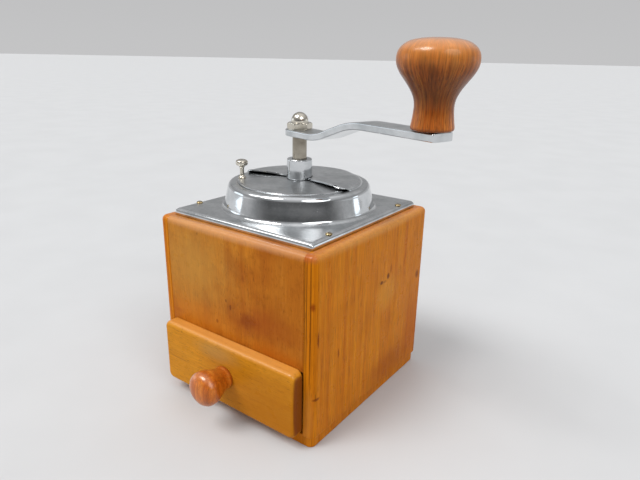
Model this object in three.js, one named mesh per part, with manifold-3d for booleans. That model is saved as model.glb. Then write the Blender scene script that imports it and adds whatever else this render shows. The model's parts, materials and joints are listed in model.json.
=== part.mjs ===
// Box coffee mill: wooden box with a drawer, pressed metal top with a rotary filling lid, cranked conical burrs.
// Millimetres, +Z up, -Y is the drawer side. The origin is the middle of the base board's underside.

import * as THREE from 'three';
import { mergeVertices } from 'three/addons/utils/BufferGeometryUtils.js';
import Module from 'manifold-3d';

const wasm = await Module();
wasm.setup();

// ---------------------------------------------------------------- driving dimensions

const BOX = { width: 125, depth: 131, height: 121, cornerRadius: 4.5, edgeRadius: 3 };
const SIDE_THICKNESS = 12.5;
const END_THICKNESS = 10;
const REBATE = 5; // how far the front and back boards are let into the side boards
const BASE = { thickness: 7.5, inset: 1.25, cornerRadius: 4 };
const DRAWER_OPENING_TOP = 50;

const DRAWER = {
  frontWidth: 110, frontBottom: 8.5, frontTop: 51.5, frontThickness: 8, cornerRadius: 5, edgeRadius: 2.5,
  boxHalfWidth: 49.25, wall: 6, bottom: 7.75, top: 45.75, back: 50, floor: 10.25, floorThickness: 3,
  frontGap: 0.25, knobHeight: 30, knobLength: 22.25,
};

const PLATE = { width: 111, depth: 118, top: 125.25, sheet: 1, cornerRadius: 1.5, screwX: 52.625, screwY: 40 };
const DOME = { radius: 49, topRadius: 46.75, fillet: 3.25, rim: 3, deckEdge: 140.5, deckMiddle: 141.5 };
const DECK = { flatOuter: 40, flatInner: 12, openingOuter: 36.75, openingStart: 199, openingEnd: 341 };
const LID = { radius: 39.75, bore: 6.75, gap: 0.25, sheet: 1, start: 188, end: 349.5 };
const HOOD = { radius: 41.5, rounding: 3.5, edgeTop: 144, gap: 0.5, sheet: 1, bore: 8.75, start: -14, end: 191 };
const LID_KNOB = { orbit: 37.75, angle: 214.5, top: 154.75 };

const BUSH = { bore: 4.9, neck: 5.75, shoulder: 6.5, collar: 8.2, bottom: 136.25, collarBottom: 143, top: 156 };
const SPINDLE = { radius: 4.65, square: 6.5, thread: 3, journal: 2.25, washerSeat: 125, top: 181 };
const BURR = { bottom: 77, top: 97, bottomRadius: 16.75, topRadius: 8.5, teeth: 12, toothDepth: 1.5 };
const RING_BURR = { bottom: 76, top: 100, radius: 31, bottomBore: 17.25, topBore: 19, teeth: 16, toothDepth: 1.75 };
const NUT = { bottom: 71.75, top: 76.75, radius: 12, lobes: 8 };
const SPRING = { coilRadius: 6, wire: 0.6, turns: 6, bottom: 98.25, top: 123.25 };
const BRIDGE = { bottom: 62, beamTop: 66, width: 12, reach: 29, leg: 6 };

const CRANK = {
  angle: -17.2, reach: 110.5, thickness: 4, hubBottom: 170.75, outerBottom: 182,
  firstBend: 26.5, secondBend: 58.5, hubRadius: 9.25, endHalfWidth: 7.25, overhang: 7.5,
};
const KNOB = { gap: 0.5, height: 41.5, bore: 5.5, boreDepth: 27.5 };

const ROUND = 16; // facets round a small turned piece
const WIDE = 48; // facets round the dome, lid and hood
const KNOB_FACETS = 24;

// ---------------------------------------------------------------- materials

const finish = (color, roughness, metalness) => new THREE.MeshStandardMaterial({ color, roughness, metalness });
const MATERIAL = {
  sideWood: finish(0xc07a2c, 0.4, 0),
  frontWood: finish(0xb56a2d, 0.4, 0),
  drawerWood: finish(0xc88a3a, 0.4, 0),
  plainWood: finish(0xcaa472, 0.7, 0),
  drawerKnobWood: finish(0xb4571c, 0.3, 0),
  crankKnobWood: finish(0x8a3d14, 0.3, 0),
  chrome: finish(0xc9cdd0, 0.15, 1),
  nickel: finish(0xc6bfae, 0.25, 1),
  steel: finish(0x8f9294, 0.4, 1),
  iron: finish(0x4a4b4d, 0.6, 0.8),
};

// ---------------------------------------------------------------- helpers

const radians = THREE.MathUtils.degToRad;
const points = (pairs) => pairs.map(([x, y]) => new THREE.Vector2(x, y));

// A closed three.js geometry as a solid that can be joined and cut.
function solid(geometry) {
  const bare = geometry.clone();
  bare.deleteAttribute('normal');
  bare.deleteAttribute('uv');
  const merged = mergeVertices(bare, 1e-4);
  const index = merged.index.array;
  const kept = [];
  for (let i = 0; i < index.length; i += 3) {
    const [a, b, c] = [index[i], index[i + 1], index[i + 2]];
    if (a !== b && b !== c && c !== a) kept.push(a, b, c);
  }
  const vertProperties = new Float32Array(merged.attributes.position.array);
  return new wasm.Manifold(new wasm.Mesh({ numProp: 3, vertProperties, triVerts: new Uint32Array(kept) }));
}

function geometryOf(manifold) {
  const { vertProperties, triVerts } = manifold.getMesh();
  const geometry = new THREE.BufferGeometry();
  geometry.setAttribute('position', new THREE.BufferAttribute(new Float32Array(vertProperties), 3));
  geometry.setIndex(new THREE.BufferAttribute(new Uint32Array(triVerts), 1));
  geometry.computeVertexNormals();
  return geometry;
}

function block(x0, x1, y0, y1, z0, z1) {
  const geometry = new THREE.BoxGeometry(x1 - x0, y1 - y0, z1 - z0);
  return geometry.translate((x0 + x1) / 2, (y0 + y1) / 2, (z0 + z1) / 2);
}

// A turned shape about Z. The profile is (radius, height) pairs, up the outside: axis to axis, or a closed ring.
function turned(profile, facets = ROUND) {
  return new THREE.LatheGeometry(points(profile), facets).rotateX(Math.PI / 2);
}

function turnedRing(profile, facets = ROUND) {
  return turned([...profile, profile[0]], facets);
}

function rod(x, y, z0, z1, radius, facets = 12) {
  const geometry = new THREE.CylinderGeometry(radius, radius, z1 - z0, facets).rotateX(Math.PI / 2);
  return geometry.translate(x, y, (z0 + z1) / 2);
}

function squareBar(width, z0, z1) {
  return block(-width / 2, width / 2, -width / 2, width / 2, z0, z1);
}

function roundedRectangle(width, height, radius) {
  const [x, y] = [width / 2 - radius, height / 2 - radius];
  const shape = new THREE.Shape();
  shape.absarc(x, y, radius, 0, Math.PI / 2);
  shape.absarc(-x, y, radius, Math.PI / 2, Math.PI);
  shape.absarc(-x, -y, radius, Math.PI, 1.5 * Math.PI);
  shape.absarc(x, -y, radius, 1.5 * Math.PI, 2 * Math.PI);
  return shape;
}

// A plate with rounded corners and both faces' edges rounded over by edge, its top face at z = top.
function softPlate(width, height, cornerRadius, edge, thickness, top) {
  const geometry = new THREE.ExtrudeGeometry(roundedRectangle(width, height, cornerRadius), {
    depth: thickness - 2 * edge, curveSegments: 4,
    bevelEnabled: true, bevelThickness: edge, bevelSize: edge, bevelOffset: -edge, bevelSegments: 3,
  });
  return geometry.translate(0, 0, top - thickness + edge);
}

function flatPlate(width, height, cornerRadius, z0, z1) {
  const shape = roundedRectangle(width, height, cornerRadius);
  const geometry = new THREE.ExtrudeGeometry(shape, { depth: z1 - z0, bevelEnabled: false, curveSegments: 4 });
  return geometry.translate(0, 0, z0);
}

// A wedge of an annulus between two radii and two angles in degrees, as a prism.
function sector(inner, outer, start, end, z0, z1) {
  const shape = new THREE.Shape();
  shape.absarc(0, 0, outer, radians(start), radians(end), false);
  shape.absarc(0, 0, inner, radians(end), radians(start), true);
  const geometry = new THREE.ExtrudeGeometry(shape, { depth: z1 - z0, bevelEnabled: false, curveSegments: 18 });
  return geometry.translate(0, 0, z0);
}

// An arc of a profile from one angle to another, in degrees, as (radius, height) pairs.
function arc(centreR, centreZ, radius, from, to, steps = 3) {
  const pairs = [];
  for (let i = 0; i <= steps; i += 1) {
    const a = radians(from + ((to - from) * i) / steps);
    pairs.push([centreR + radius * Math.cos(a), centreZ + radius * Math.sin(a)]);
  }
  return pairs;
}

// A star-shaped prism that tapers and twists from bottom to top, for burr teeth.
function toothedCone({ teeth, tipInward, bottom, top, bottomRadius, topRadius, toothDepth, twist }) {
  const outline = [];
  for (let i = 0; i < teeth; i += 1) {
    const step = (2 * Math.PI) / teeth;
    outline.push(new THREE.Vector2(Math.cos(i * step), Math.sin(i * step)));
    outline.push(new THREE.Vector2(Math.cos((i + 0.35) * step), Math.sin((i + 0.35) * step)));
  }
  const geometry = new THREE.ExtrudeGeometry(new THREE.Shape(outline), { depth: 1, steps: 1, bevelEnabled: false });
  const position = geometry.attributes.position;
  const step = (2 * Math.PI) / teeth;
  for (let i = 0; i < position.count; i += 1) {
    const t = position.getZ(i);
    const angle = Math.atan2(position.getY(i), position.getX(i));
    const isTip = Math.abs(angle / step - Math.round(angle / step)) < 0.1;
    const reach = THREE.MathUtils.lerp(bottomRadius, topRadius, t);
    const radius = isTip ? reach : reach + (tipInward ? toothDepth : -toothDepth);
    const turnedBy = angle + twist * t;
    position.setXYZ(i, radius * Math.cos(turnedBy), radius * Math.sin(turnedBy), bottom + (top - bottom) * t);
  }
  return geometry;
}

// A machine or wood screw, head up, its head's underside at z = seat. The head is round with a slot.
function slottedScrew(x, y, seat, headRadius, headHeight, shankRadius, length) {
  const profile = [
    [0, seat - length], [shankRadius * 0.4, seat - length], [shankRadius, seat - length + 2 * shankRadius],
    [shankRadius, seat], [headRadius, seat], [headRadius * 0.92, seat + headHeight * 0.55],
    [headRadius * 0.55, seat + headHeight], [0, seat + headHeight],
  ];
  const slot = block(-headRadius, headRadius, -0.3, 0.3, seat + headHeight * 0.55, seat + headHeight + 1);
  return geometryOf(solid(turned(profile, 12)).subtract(solid(slot))).translate(x, y, 0);
}

function addMesh(group, name, geometry, material) {
  const mesh = new THREE.Mesh(geometry, material);
  mesh.name = name;
  group.add(mesh);
  return mesh;
}

// The four corners of a rectangle of places, with a short label for each.
function corners(x, y) {
  return [['front_left', -x, -y], ['front_right', x, -y], ['back_left', -x, y], ['back_right', x, y]];
}

// ---------------------------------------------------------------- wooden box

const SCREW = { plateShank: 1.2, plateHead: 2.1, baseShank: 1.5, baseHead: 3.4, baseX: 56.25, baseY: 45 };

function woodenBox(group) {
  const { width, depth, height, cornerRadius, edgeRadius } = BOX;
  const [halfWidth, halfDepth] = [width / 2, depth / 2];
  const inside = halfWidth - SIDE_THICKNESS;
  const endFace = halfDepth - END_THICKNESS;
  const envelope = solid(softPlate(width, depth, cornerRadius, edgeRadius, height + 20, height));

  for (const [name, side] of [['left_side_board', -1], ['right_side_board', 1]]) {
    const [x0, x1] = side > 0 ? [inside, halfWidth] : [-halfWidth, -inside];
    let board = solid(block(x0, x1, -halfDepth, halfDepth, BASE.thickness, height)).intersect(envelope);
    const [r0, r1] = side > 0 ? [inside - 1, inside + REBATE] : [-inside - REBATE, -inside + 1];
    for (const [y0, y1] of [[-halfDepth - 1, -endFace], [endFace, halfDepth + 1]]) {
      board = board.subtract(solid(block(r0, r1, y0, y1, 0, height + 1)));
    }
    for (const y of [-PLATE.screwY, PLATE.screwY]) {
      board = board.subtract(solid(rod(side * PLATE.screwX, y, height - 14, height + 1, SCREW.plateShank + 0.15)));
    }
    for (const y of [-SCREW.baseY, SCREW.baseY]) {
      board = board.subtract(solid(rod(side * SCREW.baseX, y, 0, 26, SCREW.baseShank + 0.15)));
    }
    addMesh(group, name, geometryOf(board), MATERIAL.sideWood);
  }

  const endHalf = inside + REBATE;
  const front = solid(block(-endHalf, endHalf, -halfDepth, -endFace, DRAWER_OPENING_TOP, height));
  addMesh(group, 'front_board', geometryOf(front.intersect(envelope)), MATERIAL.frontWood);
  const back = solid(block(-endHalf, endHalf, endFace, halfDepth, BASE.thickness, height));
  addMesh(group, 'back_board', geometryOf(back.intersect(envelope)), MATERIAL.frontWood);

  const baseWidth = width - 2 * BASE.inset;
  const baseDepth = depth - 2 * BASE.inset;
  let base = solid(flatPlate(baseWidth, baseDepth, BASE.cornerRadius, 0, BASE.thickness));
  for (const [label, x, y] of corners(SCREW.baseX, SCREW.baseY)) {
    const hole = turned([[0, -1], [SCREW.baseHead + 0.35, -1], [SCREW.baseHead + 0.35, 0.25],
      [SCREW.baseShank + 0.25, 2.75], [SCREW.baseShank + 0.25, 9], [0, 9]], 12);
    base = base.subtract(solid(hole.translate(x, y, 0)));
    const screw = turned([[0, 0.25], [SCREW.baseHead, 0.25], [SCREW.baseShank, 2.5], [SCREW.baseShank, 21],
      [0, 25]], 12);
    const slot = block(-SCREW.baseHead - 1, SCREW.baseHead + 1, -0.4, 0.4, -1, 0.9);
    const cut = geometryOf(solid(screw).subtract(solid(slot))).translate(x, y, 0);
    addMesh(group, `base_screw_${label}`, cut, MATERIAL.steel);
  }
  addMesh(group, 'base_board', geometryOf(base), MATERIAL.sideWood);
}

// ---------------------------------------------------------------- drawer

function drawer(group) {
  const D = DRAWER;
  const back = -BOX.depth / 2 - D.frontGap;
  const face = back - D.frontThickness;
  const middle = (D.frontBottom + D.frontTop) / 2;

  // The front is rounded over on its outer edges only: a thicker rounded plate with its back half cut away.
  const plate = softPlate(D.frontWidth, D.frontTop - D.frontBottom, D.cornerRadius, D.edgeRadius, 16, 0);
  plate.rotateX(Math.PI / 2).translate(0, face, middle);
  let front = solid(plate).intersect(solid(block(-80, 80, face - 1, back, 0, 80)));
  const boring = rod(0, 0, -20, 20, 2.1).rotateX(Math.PI / 2).translate(0, back, D.knobHeight);
  front = front.subtract(solid(boring));
  addMesh(group, 'drawer_front', geometryOf(front), MATERIAL.drawerWood);

  const inner = D.boxHalfWidth - D.wall;
  const [rear, wallFront] = [D.back, D.back - D.wall];
  const side = (x0, x1) => block(x0, x1, back, rear, D.bottom, D.top);
  addMesh(group, 'drawer_left_side', side(-D.boxHalfWidth, -inner), MATERIAL.plainWood);
  addMesh(group, 'drawer_right_side', side(inner, D.boxHalfWidth), MATERIAL.plainWood);
  addMesh(group, 'drawer_back', block(-inner, inner, wallFront, rear, D.bottom, D.top), MATERIAL.plainWood);
  const floorTop = D.floor + D.floorThickness;
  addMesh(group, 'drawer_bottom', block(-inner, inner, back, wallFront, D.floor, floorTop), MATERIAL.plainWood);

  // The knob is turned about the drawer's pulling direction, with a pilot hole for its screw.
  const knob = turned([
    [0, 14], [2, 14], [2, 0], [7.3, 0], [7.6, 1.5], [7.5, 3.5], [8, 6], [9.1, 9], [10.4, 12],
    [11, 15], [10.5, 18], [8.6, 20.3], [5, 21.8], [0, D.knobLength],
  ], KNOB_FACETS);
  knob.rotateX(Math.PI / 2).translate(0, face, D.knobHeight);
  addMesh(group, 'drawer_knob', knob, MATERIAL.drawerKnobWood);
  const screw = slottedScrew(0, 0, 0, 3.75, 2.25, 1.75, D.frontThickness + 12);
  screw.rotateX(-Math.PI / 2).translate(0, back, D.knobHeight);
  addMesh(group, 'drawer_knob_screw', screw, MATERIAL.steel);
}

// ---------------------------------------------------------------- metal top

function topPlate(group) {
  const under = PLATE.top - PLATE.sheet;
  const tray = solid(softPlate(PLATE.width, PLATE.depth, PLATE.cornerRadius, 0.75, 8, PLATE.top))
    .intersect(solid(block(-80, 80, -80, 80, BOX.height, 140)))
    .subtract(solid(flatPlate(PLATE.width - 2 * PLATE.sheet, PLATE.depth - 2 * PLATE.sheet, 0.75, 110, under)));

  const filletCentre = [DOME.radius + DOME.fillet, PLATE.top + DOME.fillet];
  const rimCentre = [DOME.topRadius - DOME.rim, DOME.deckEdge - DOME.rim];
  const outside = turned([
    [0, under + 0.5], [filletCentre[0], under + 0.5],
    ...arc(...filletCentre, DOME.fillet, 270, 180),
    ...arc(...rimCentre, DOME.rim, 0, 90),
    [DECK.flatOuter, DOME.deckEdge], [DECK.flatInner, DOME.deckMiddle], [0, DOME.deckMiddle],
  ], WIDE);
  const inside = turned([
    [0, 100], [filletCentre[0], 100],
    ...arc(...filletCentre, DOME.fillet + PLATE.sheet, 270, 180),
    ...arc(...rimCentre, DOME.rim - PLATE.sheet, 0, 90),
    [DECK.flatOuter, DOME.deckEdge - PLATE.sheet], [DECK.flatInner, DOME.deckMiddle - PLATE.sheet],
    [0, DOME.deckMiddle - PLATE.sheet],
  ], WIDE);

  const mouth = sector(DECK.flatInner, DECK.openingOuter, DECK.openingStart, DECK.openingEnd, 130, 150);
  let plate = tray.add(solid(outside)).subtract(solid(inside)).subtract(solid(mouth));
  plate = plate.subtract(solid(rod(0, 0, 130, 150, BUSH.neck + 0.25, ROUND)));
  for (const [label, x, y] of corners(PLATE.screwX, PLATE.screwY)) {
    plate = plate.subtract(solid(rod(x, y, 120, 130, SCREW.plateShank + 0.2)));
    const screw = slottedScrew(x, y, PLATE.top, SCREW.plateHead, 1.25, SCREW.plateShank, 17);
    addMesh(group, `top_plate_screw_${label}`, screw, MATERIAL.nickel);
  }
  addMesh(group, 'top_plate', geometryOf(plate), MATERIAL.chrome);
}

// The lid is a flat ring on the spindle bush with a wide sector that covers the filling opening.
function fillerLid(group) {
  const low = DOME.deckMiddle + LID.gap;
  const edge = DOME.deckEdge + LID.gap;
  const disc = turnedRing([
    [LID.bore, low], [DECK.flatInner, low], [LID.radius, edge], [LID.radius, edge + LID.sheet],
    [DECK.flatInner, low + LID.sheet], [LID.bore, low + LID.sheet],
  ], WIDE);
  const away = sector(DECK.flatInner, LID.radius + 5, LID.end, LID.start + 360, 130, 150);
  const socket = rod(LID_KNOB.orbit, 0, edge + 0.35, 150, 1.6).rotateZ(radians(LID_KNOB.angle));
  const lid = solid(disc).subtract(solid(away)).subtract(solid(socket));
  addMesh(group, 'filler_lid', geometryOf(lid), MATERIAL.chrome);

  const foot = edge + LID.sheet + 0.25;
  const knob = turned([
    [0, edge + 0.5], [1.35, edge + 0.5], [1.35, foot], [2.6, foot], [2.3, foot + 1.2], [1.5, foot + 2.2],
    [1.4, foot + 7], [2.2, foot + 8.4], [3.7, foot + 9.2], [4, foot + 10.3], [3.6, foot + 11.8],
    [2, foot + 12.5], [0, LID_KNOB.top],
  ]);
  knob.translate(LID_KNOB.orbit, 0, 0).rotateZ(radians(LID_KNOB.angle));
  addMesh(group, 'lid_knob', knob, MATERIAL.nickel);
}

// The hood is a raised fixed sector with a nick in one end: the lid turns away underneath it.
function fillerHood(group) {
  const low = DOME.deckMiddle + LID.gap + LID.sheet + HOOD.gap;
  const roundingCentre = [HOOD.radius - HOOD.rounding, HOOD.edgeTop - HOOD.rounding];
  const shell = turnedRing([
    [HOOD.bore, low], [DECK.flatInner, low],
    ...arc(...roundingCentre, HOOD.rounding - HOOD.sheet, 90, 0),
    ...arc(...roundingCentre, HOOD.rounding, 0, 90),
    [DECK.flatInner, low + HOOD.sheet], [HOOD.bore, low + HOOD.sheet],
  ], WIDE);
  const wedge = sector(HOOD.bore - 2, HOOD.radius + 5, HOOD.start, HOOD.end, 130, 150);
  const notch = rod(35.5, 0, 130, 150, 2).rotateZ(radians(HOOD.start + 2));
  const hood = solid(shell).intersect(solid(wedge)).subtract(solid(notch));
  addMesh(group, 'filler_hood', geometryOf(hood), MATERIAL.chrome);
}

function spindleBush(group) {
  const bush = turnedRing([
    [BUSH.bore, BUSH.bottom], [BUSH.neck, BUSH.bottom], [BUSH.neck, DOME.deckMiddle],
    [BUSH.shoulder, DOME.deckMiddle], [BUSH.shoulder, BUSH.collarBottom], [BUSH.collar, BUSH.collarBottom],
    [BUSH.collar, BUSH.top - 0.6], [BUSH.collar - 0.6, BUSH.top], [BUSH.bore, BUSH.top],
  ]);
  addMesh(group, 'spindle_bush', bush, MATERIAL.chrome);
  const [z0, z1] = [DOME.deckMiddle - PLATE.sheet - 3.5, DOME.deckMiddle - PLATE.sheet];
  const nut = solid(rod(0, 0, z0, z1, 9.5, 6)).subtract(solid(rod(0, 0, z0 - 1, z1 + 1, BUSH.neck + 0.25, ROUND)));
  addMesh(group, 'bush_nut', geometryOf(nut), MATERIAL.steel);
}

// ---------------------------------------------------------------- grinder below the plate

const FLOOR = RING_BURR.top; // the hopper's floor sits on the ring burr
const HOUSING_SCREW = { orbit: 26.5, shank: 1.75, head: 3.2, angles: [30, 150, 270] };
const BRIDGE_SCREW = { x: 26, shank: 1.75, head: 3 };

function hopper(group) {
  const under = PLATE.top - PLATE.sheet;
  const funnel = turnedRing([
    [20.75, FLOOR], [35.05, FLOOR], [49.55, under - 1], [54.25, under - 1], [54.25, under], [49, under],
    [34.5, FLOOR + 1], [20.75, FLOOR + 1],
  ], 32);
  let sheet = solid(funnel);
  HOUSING_SCREW.angles.forEach((angle, i) => {
    const [x, y] = [HOUSING_SCREW.orbit * Math.cos(radians(angle)), HOUSING_SCREW.orbit * Math.sin(radians(angle))];
    sheet = sheet.subtract(solid(rod(x, y, FLOOR - 1, FLOOR + 2, HOUSING_SCREW.shank + 0.25)));
    const screw = slottedScrew(x, y, FLOOR + 1, HOUSING_SCREW.head, 2, HOUSING_SCREW.shank, 12);
    addMesh(group, `housing_screw_${i + 1}`, screw, MATERIAL.steel);
  });
  addMesh(group, 'hopper_funnel', geometryOf(sheet), MATERIAL.steel);
}

function ringBurr(group) {
  const R = RING_BURR;
  const teeth = toothedCone({
    teeth: R.teeth, tipInward: true, bottom: R.bottom - 0.5, top: R.top + 0.5, bottomRadius: R.bottomBore,
    topRadius: R.topBore, toothDepth: R.toothDepth, twist: -0.35,
  });
  let ring = solid(rod(0, 0, R.bottom, R.top, R.radius, 32)).subtract(solid(teeth));
  for (const angle of HOUSING_SCREW.angles) {
    const hole = rod(HOUSING_SCREW.orbit, 0, R.top - 13, R.top + 1, HOUSING_SCREW.shank + 0.25);
    ring = ring.subtract(solid(hole.rotateZ(radians(angle))));
  }
  for (const x of [-BRIDGE_SCREW.x, BRIDGE_SCREW.x]) {
    ring = ring.subtract(solid(rod(x, 0, R.bottom - 1, R.bottom + 11, BRIDGE_SCREW.shank + 0.25)));
  }
  addMesh(group, 'ring_burr', geometryOf(ring), MATERIAL.iron);
}

function lowerBridge(group) {
  const B = BRIDGE;
  const legTop = RING_BURR.bottom;
  const outline = new THREE.Shape(points([
    [-B.reach, B.bottom], [B.reach, B.bottom], [B.reach, legTop], [B.reach - B.leg, legTop],
    [B.reach - B.leg, B.beamTop], [B.leg - B.reach, B.beamTop], [B.leg - B.reach, legTop], [-B.reach, legTop],
  ]));
  const strap = new THREE.ExtrudeGeometry(outline, { depth: B.width, bevelEnabled: false });
  strap.rotateX(Math.PI / 2).translate(0, B.width / 2, 0);
  let bridge = solid(strap).subtract(solid(rod(0, 0, 60, 70, SPINDLE.journal + 0.2, ROUND)));
  for (const [name, x] of [['bridge_screw_left', -BRIDGE_SCREW.x], ['bridge_screw_right', BRIDGE_SCREW.x]]) {
    bridge = bridge.subtract(solid(rod(x, 0, 60, 80, BRIDGE_SCREW.shank + 0.25)));
    const screw = slottedScrew(0, 0, 0, BRIDGE_SCREW.head, 2, BRIDGE_SCREW.shank, 23);
    addMesh(group, name, screw.rotateX(Math.PI).translate(x, 0, B.bottom), MATERIAL.steel);
  }
  addMesh(group, 'lower_bridge', geometryOf(bridge), MATERIAL.iron);
  const washer = [[2.5, B.beamTop], [6, B.beamTop], [6, B.beamTop + 1], [2.5, B.beamTop + 1]];
  addMesh(group, 'thrust_washer', turnedRing(washer), MATERIAL.nickel);
}

// ---------------------------------------------------------------- spindle and crank

// A helix for the spring's wire, from its bottom to its top.
class Helix extends THREE.Curve {
  getPoint(t, target = new THREE.Vector3()) {
    const a = 2 * Math.PI * SPRING.turns * t;
    const z = THREE.MathUtils.lerp(SPRING.bottom, SPRING.top, t);
    return target.set(SPRING.coilRadius * Math.cos(a), SPRING.coilRadius * Math.sin(a), z);
  }
}

function spindle(group) {
  const S = SPINDLE;
  const neckTop = CRANK.hubBottom + CRANK.thickness;
  const upper = turned([
    [0, S.washerSeat], [S.radius, S.washerSeat], [S.radius, 134.75], [4, 134.75], [4, 135.75], [S.radius, 135.75],
    [S.radius, CRANK.hubBottom], [0, CRANK.hubBottom],
  ]);
  const stud = turned([[0, CRANK.hubBottom], [3.1, CRANK.hubBottom], [3.1, S.top - 0.6], [2.5, S.top], [0, S.top]]);
  const lower = turned([
    [0, 59], [S.journal - 0.5, 59], [S.journal, 59.5], [S.journal, 67.25], [S.thread, 67.25], [S.thread, 80], [0, 80],
  ]);
  const shaft = solid(upper)
    .add(solid(stud))
    .add(solid(squareBar(S.square, CRANK.hubBottom - 1, neckTop - 0.25)))
    .add(solid(squareBar(S.square, 78, S.washerSeat + 1)))
    .add(solid(lower));
  addMesh(group, 'spindle', geometryOf(shaft), MATERIAL.nickel);

  const ring = turnedRing([[4.2, 134.85], [7.5, 134.85], [7.5, 135.65], [4.2, 135.65]]);
  const gap = block(-2.5, 2.5, 0, 10, 130, 140);
  addMesh(group, 'retaining_ring', geometryOf(solid(ring).subtract(solid(gap))), MATERIAL.steel);

  const washer = solid(rod(0, 0, S.washerSeat - 1, S.washerSeat, 7.75, ROUND));
  const square = solid(squareBar(S.square + 0.3, 120, 130));
  addMesh(group, 'spring_washer', geometryOf(washer.subtract(square)), MATERIAL.steel);

  const wire = new THREE.Shape();
  wire.absarc(0, 0, SPRING.wire, 0, 2 * Math.PI);
  const coil = new THREE.ExtrudeGeometry(wire, {
    extrudePath: new Helix(), steps: SPRING.turns * 10, curveSegments: 3, bevelEnabled: false,
  });
  addMesh(group, 'burr_spring', coil, MATERIAL.steel);
}

function coneBurr(group) {
  const cone = toothedCone({ ...BURR, tipInward: false, twist: 0.6 });
  const bore = squareBar(SPINDLE.square + 0.35, BURR.bottom - 1, BURR.top + 1);
  addMesh(group, 'cone_burr', geometryOf(solid(cone).subtract(solid(bore))), MATERIAL.iron);
}

function adjustingNut(group) {
  const outline = [];
  const steps = 6 * NUT.lobes;
  for (let i = 0; i < steps; i += 1) {
    const a = (2 * Math.PI * i) / steps;
    const radius = NUT.radius - 0.8 + 0.8 * Math.cos(NUT.lobes * a);
    outline.push(new THREE.Vector2(radius * Math.cos(a), radius * Math.sin(a)));
  }
  const disc = new THREE.ExtrudeGeometry(new THREE.Shape(outline), { depth: 3, bevelEnabled: false });
  const nut = solid(disc.translate(0, 0, NUT.bottom))
    .add(solid(rod(0, 0, NUT.bottom + 1, NUT.top, 6, ROUND)))
    .subtract(solid(rod(0, 0, NUT.bottom - 1, NUT.top + 1, SPINDLE.thread + 0.2, ROUND)));
  addMesh(group, 'adjusting_nut', geometryOf(nut), MATERIAL.nickel);
}

// The arm is a bent flat strip, tapered from a round hub to a squarer outer end.
function crankArm(group) {
  const C = CRANK;
  const half = C.thickness / 2;
  const [low, high] = [C.hubBottom + half, C.outerBottom + half];
  const [start, end] = [-C.hubRadius - 1, C.reach + C.overhang + 1];
  const path = new THREE.Path();
  path.moveTo(start, low);
  path.lineTo(C.firstBend - 7, low);
  path.quadraticCurveTo(C.firstBend, low, C.firstBend + 6, low + ((high - low) * 6) / (C.secondBend - C.firstBend));
  path.lineTo(C.secondBend - 8, high - ((high - low) * 8) / (C.secondBend - C.firstBend));
  path.quadraticCurveTo(C.secondBend, high, C.secondBend + 9, high);
  path.lineTo(end, high);

  const centre = path.getPoints(6);
  const edge = (side) => centre.map((p, i) => {
    const before = centre[Math.max(i - 1, 0)];
    const after = centre[Math.min(i + 1, centre.length - 1)];
    const along = after.clone().sub(before).normalize();
    return new THREE.Vector2(p.x - side * half * along.y, p.y + side * half * along.x);
  });
  const profile = new THREE.Shape([...edge(-1), ...edge(1).reverse()]);
  const strip = new THREE.ExtrudeGeometry(profile, { depth: 30, bevelEnabled: false });
  strip.rotateX(Math.PI / 2).translate(0, 15, 0);

  const outerEnd = C.reach + C.overhang;
  const plan = new THREE.Shape();
  plan.absarc(0, 0, C.hubRadius, Math.PI / 2, 1.5 * Math.PI);
  plan.lineTo(outerEnd - 3, -C.endHalfWidth);
  plan.quadraticCurveTo(outerEnd - 0.5, -C.endHalfWidth, outerEnd - 0.5, 3 - C.endHalfWidth);
  plan.quadraticCurveTo(outerEnd + 0.5, 0, outerEnd - 0.5, C.endHalfWidth - 3);
  plan.quadraticCurveTo(outerEnd - 0.5, C.endHalfWidth, outerEnd - 3, C.endHalfWidth);
  const planSolid = new THREE.ExtrudeGeometry(plan, { depth: 40, bevelEnabled: false, curveSegments: 8 });
  planSolid.translate(0, 0, 160);

  const arm = solid(strip)
    .intersect(solid(planSolid))
    .subtract(solid(squareBar(SPINDLE.square + 0.3, 160, 180)))
    .subtract(solid(rod(C.reach, 0, 170, 190, 3.2, ROUND)));
  addMesh(group, 'crank_arm', geometryOf(arm), MATERIAL.chrome);
}

function capNut(group) {
  const seat = CRANK.hubBottom + CRANK.thickness;
  const hex = rod(0, 0, seat, seat + 4.25, 8, 6);
  const chamfer = turned([[0, seat], [7.6, seat], [8.1, seat + 0.5], [8.1, seat + 3.6], [6.9, seat + 4.25],
    [0, seat + 4.25]]);
  const dome = turned([
    [0, seat + 3], [5.4, seat + 3], [5.4, seat + 5.25], ...arc(0, seat + 5.25, 5.4, 15, 80, 5), [0, seat + 10.6],
  ]);
  const nut = solid(hex).intersect(solid(chamfer)).add(solid(dome))
    .subtract(solid(rod(0, 0, seat - 1, SPINDLE.top + 0.5, 3.3, ROUND)));
  addMesh(group, 'cap_nut', geometryOf(nut), MATERIAL.nickel);
}

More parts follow.
